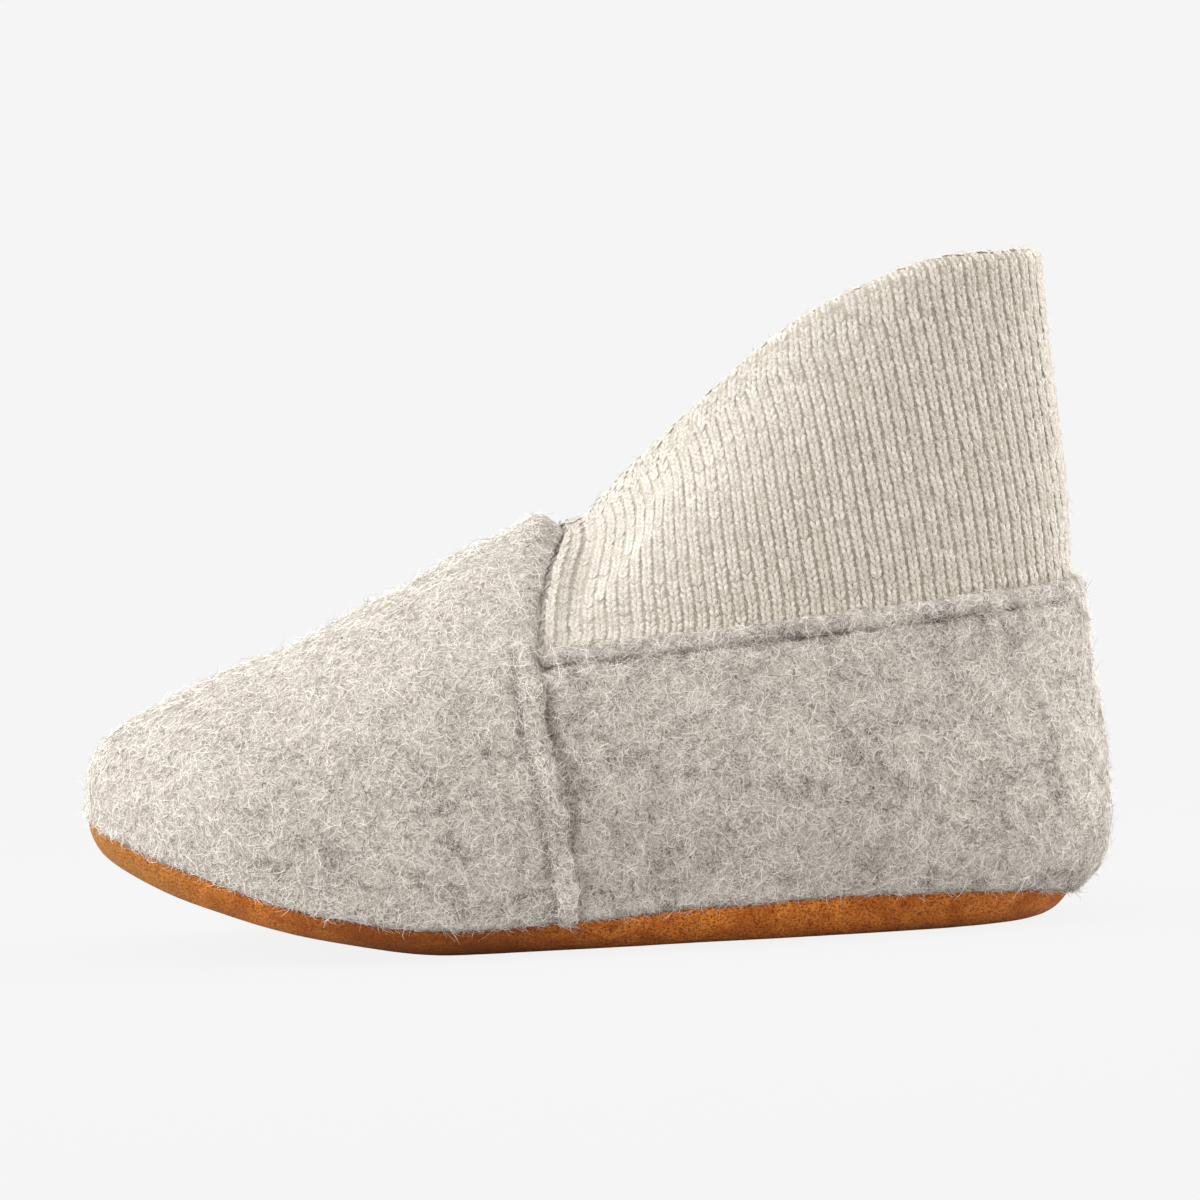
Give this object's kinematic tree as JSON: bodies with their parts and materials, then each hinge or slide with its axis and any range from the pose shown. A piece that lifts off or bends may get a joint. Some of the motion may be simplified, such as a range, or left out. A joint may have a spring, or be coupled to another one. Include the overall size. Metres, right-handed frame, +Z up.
{
  "type": "baby slipper",
  "caption": "Soft baby slipper with a felt upper, a tall rib-knit cuff and a turned suede sole with toe spring.",
  "frame": {"origin": "on the floor, under the middle of the slipper's box", "axes": "+X from toe to heel, -Y towards the outer side of the left foot, +Z up"},
  "size_m": [0.1254, 0.0606, 0.0815],
  "materials": {
    "suede": "brushed suede, caramel brown",
    "insole_felt": "plain wool felt",
    "felt": "boiled wool felt, mottled warm grey, hairy",
    "knit": "fine cream rib knit"
  },
  "bodies": {
    "root": {"sole": "suede", "insole": "insole_felt", "upper": "felt", "vamp_band": "felt", "cuff": "knit"}
  },
  "joints": []
}
